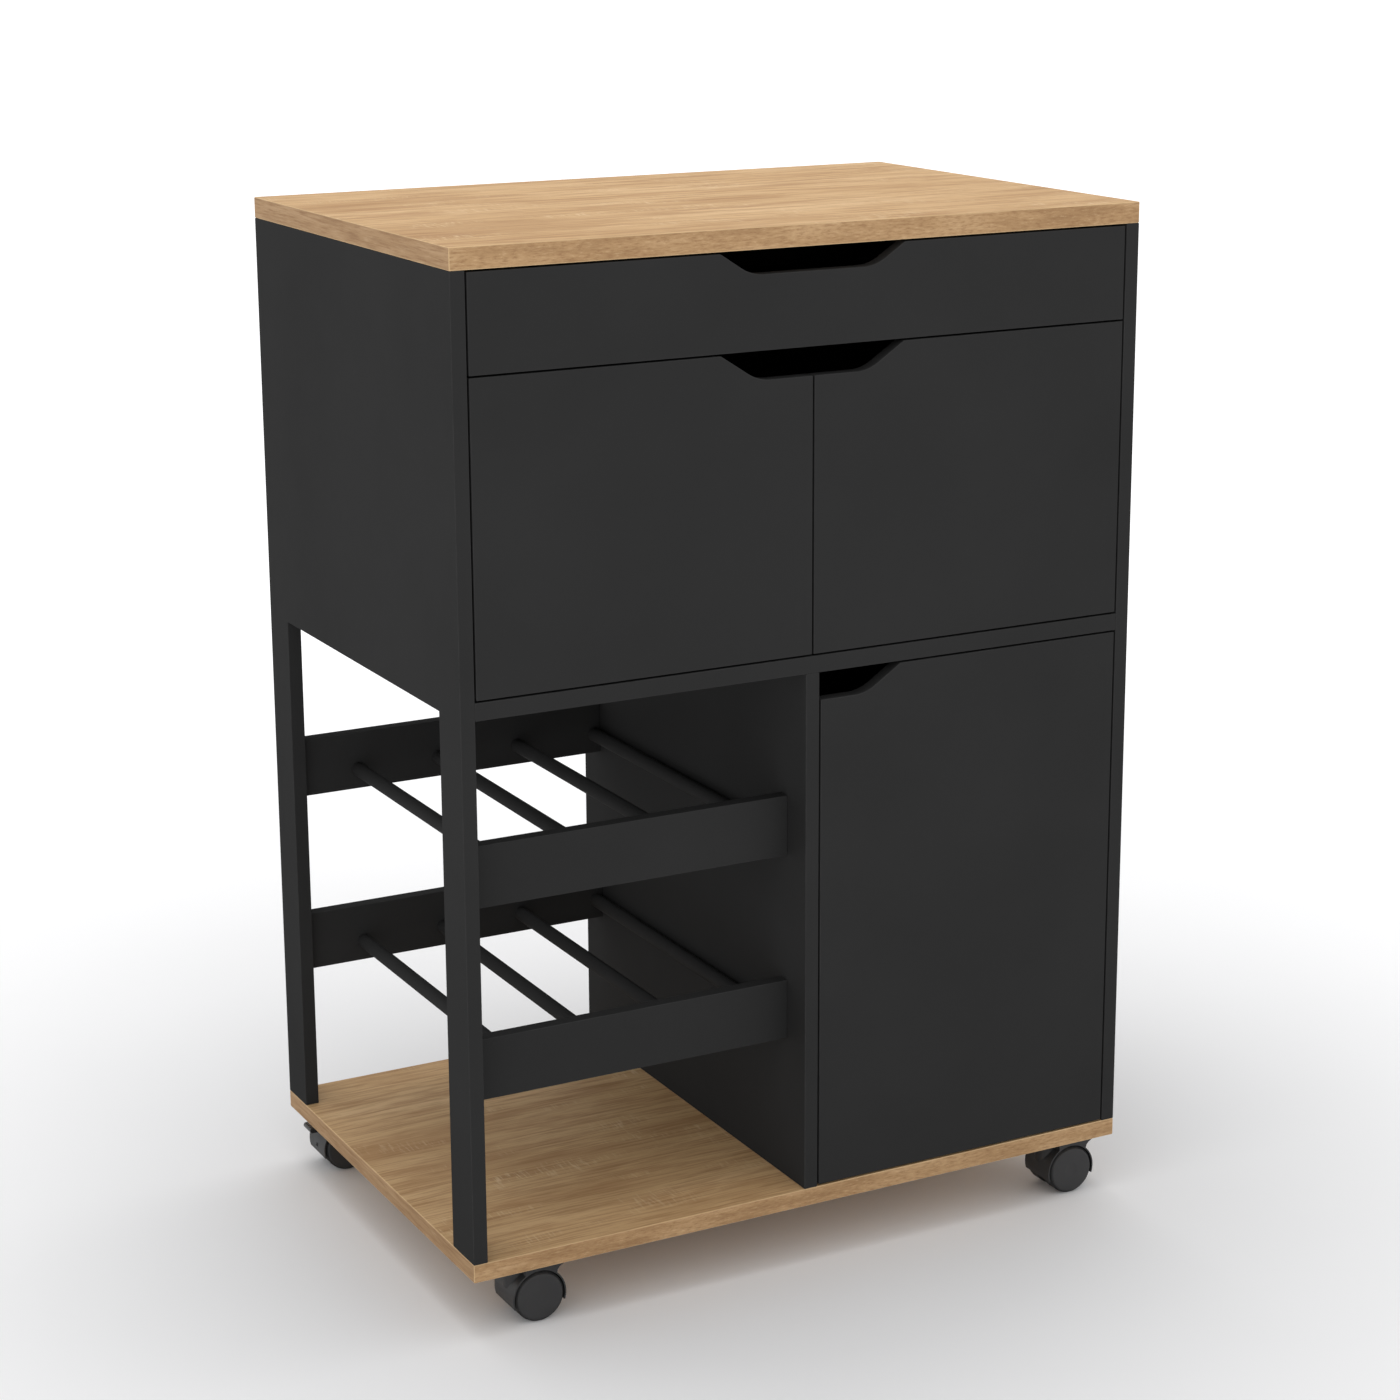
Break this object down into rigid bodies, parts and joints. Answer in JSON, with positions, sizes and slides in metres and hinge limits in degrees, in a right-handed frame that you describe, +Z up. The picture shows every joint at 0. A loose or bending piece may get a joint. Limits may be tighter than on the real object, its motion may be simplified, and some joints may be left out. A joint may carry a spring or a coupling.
{
  "type": "kitchen island cart",
  "caption": "Tall dark board kitchen cart on swivelling casters with an oak top and base, a drawer, cupboards with cut-out grips and an open bay with bottle racks.",
  "frame": {"origin": "on the floor, at the middle of the footprint", "axes": "+Z up, +X to the right of someone facing the drawer and doors, which face -Y"},
  "size_m": [0.6, 0.4, 0.85],
  "materials": {
    "oak": "matt oiled oak, grain along X",
    "dark_board": "satin dark grey lacquered board",
    "hardboard": "matt dark hardboard",
    "steel": "zinc-plated",
    "black_nylon": "moulded nylon"
  },
  "bodies": {
    "carcass": {"worktop": "oak", "base_board": "oak", "left_side_frame": "dark_board", "right_side_panel": "dark_board", "middle_shelf": "dark_board", "divider": "dark_board", "lower_rack_front_board": "dark_board", "lower_rack_rear_rail": "dark_board", "upper_rack_front_board": "dark_board", "upper_rack_rear_rail": "dark_board", "lower_rack_rod_1": "dark_board", "lower_rack_rod_2": "dark_board", "lower_rack_rod_3": "dark_board", "lower_rack_rod_4": "dark_board", "upper_rack_rod_1": "dark_board", "upper_rack_rod_2": "dark_board", "upper_rack_rod_3": "dark_board", "upper_rack_rod_4": "dark_board", "upper_back_panel": "hardboard", "lower_back_panel": "hardboard", "cabinet_runner_left": "steel", "cabinet_runner_right": "steel", "upper_left_top_hinge_arm": "steel", "upper_left_bottom_hinge_arm": "steel", "upper_right_top_hinge_arm": "steel", "upper_right_bottom_hinge_arm": "steel", "lower_top_hinge_arm": "steel", "lower_bottom_hinge_arm": "steel", "front_left_caster_plate": "steel", "front_right_caster_plate": "steel", "rear_left_caster_plate": "steel", "rear_right_caster_plate": "steel"},
    "drawer": {"drawer_front": "dark_board", "drawer_side_left": "dark_board", "drawer_side_right": "dark_board", "drawer_back": "dark_board", "drawer_bottom": "hardboard", "drawer_runner_left": "steel", "drawer_runner_right": "steel"},
    "upper_left_door": {"upper_left_door": "dark_board", "upper_left_top_hinge_cup": "steel", "upper_left_bottom_hinge_cup": "steel"},
    "upper_right_door": {"upper_right_door": "dark_board", "upper_right_top_hinge_cup": "steel", "upper_right_bottom_hinge_cup": "steel"},
    "lower_door": {"lower_door": "dark_board", "lower_top_hinge_cup": "steel", "lower_bottom_hinge_cup": "steel"},
    "front_left_caster_swivel": {"front_left_caster_body": "black_nylon"},
    "front_left_caster_wheels": {"front_left_caster_wheels": "black_nylon"},
    "front_right_caster_swivel": {"front_right_caster_body": "black_nylon"},
    "front_right_caster_wheels": {"front_right_caster_wheels": "black_nylon"},
    "rear_left_caster_swivel": {"rear_left_caster_body": "black_nylon"},
    "rear_left_caster_wheels": {"rear_left_caster_wheels": "black_nylon"},
    "rear_right_caster_swivel": {"rear_right_caster_body": "black_nylon"},
    "rear_right_caster_wheels": {"rear_right_caster_wheels": "black_nylon"},
    "rear_left_caster_brake": {"rear_left_caster_brake_lever": "black_nylon"},
    "rear_right_caster_brake": {"rear_right_caster_brake_lever": "black_nylon"}
  },
  "joints": [
    {"name": "drawer_slide", "type": "slide", "parent": "carcass", "child": "drawer", "axis": [0, -1, 0], "range_m": [0, 0.25]},
    {"name": "upper_left_door_hinge", "type": "hinge", "parent": "carcass", "child": "upper_left_door", "pos_m": [-0.2725, -0.194, 0.63475], "axis": [0, 0, -1], "range_deg": [0, 95]},
    {"name": "upper_right_door_hinge", "type": "hinge", "parent": "carcass", "child": "upper_right_door", "pos_m": [0.2725, -0.194, 0.63475], "axis": [0, 0, 1], "range_deg": [0, 95]},
    {"name": "lower_door_hinge", "type": "hinge", "parent": "carcass", "child": "lower_door", "pos_m": [0.2725, -0.194, 0.282], "axis": [0, 0, 1], "range_deg": [0, 95]},
    {"name": "front_left_caster_swivel", "type": "hinge", "parent": "carcass", "child": "front_left_caster_swivel", "pos_m": [-0.252, -0.172, 0.045], "axis": [0, 0, 1], "continuous": true},
    {"name": "front_left_caster_roll", "type": "hinge", "parent": "front_left_caster_swivel", "child": "front_left_caster_wheels", "pos_m": [-0.24, -0.172, 0.021], "axis": [0, 1, 0], "continuous": true},
    {"name": "front_right_caster_swivel", "type": "hinge", "parent": "carcass", "child": "front_right_caster_swivel", "pos_m": [0.252, -0.172, 0.045], "axis": [0, 0, 1], "continuous": true},
    {"name": "front_right_caster_roll", "type": "hinge", "parent": "front_right_caster_swivel", "child": "front_right_caster_wheels", "pos_m": [0.264, -0.172, 0.021], "axis": [0, 1, 0], "continuous": true},
    {"name": "rear_left_caster_swivel", "type": "hinge", "parent": "carcass", "child": "rear_left_caster_swivel", "pos_m": [-0.252, 0.172, 0.045], "axis": [0, 0, 1], "continuous": true},
    {"name": "rear_left_caster_roll", "type": "hinge", "parent": "rear_left_caster_swivel", "child": "rear_left_caster_wheels", "pos_m": [-0.264, 0.172, 0.021], "axis": [0, 1, 0], "continuous": true},
    {"name": "rear_right_caster_swivel", "type": "hinge", "parent": "carcass", "child": "rear_right_caster_swivel", "pos_m": [0.252, 0.172, 0.045], "axis": [0, 0, 1], "continuous": true},
    {"name": "rear_right_caster_roll", "type": "hinge", "parent": "rear_right_caster_swivel", "child": "rear_right_caster_wheels", "pos_m": [0.24, 0.172, 0.021], "axis": [0, 1, 0], "continuous": true},
    {"name": "rear_left_caster_brake", "type": "hinge", "parent": "rear_left_caster_swivel", "child": "rear_left_caster_brake", "pos_m": [-0.28332, 0.172, 0.0384], "axis": [0, -1, 0], "range_deg": [0, 24]},
    {"name": "rear_right_caster_brake", "type": "hinge", "parent": "rear_right_caster_swivel", "child": "rear_right_caster_brake", "pos_m": [0.22068, 0.172, 0.0384], "axis": [0, -1, 0], "range_deg": [0, 24]}
  ]
}
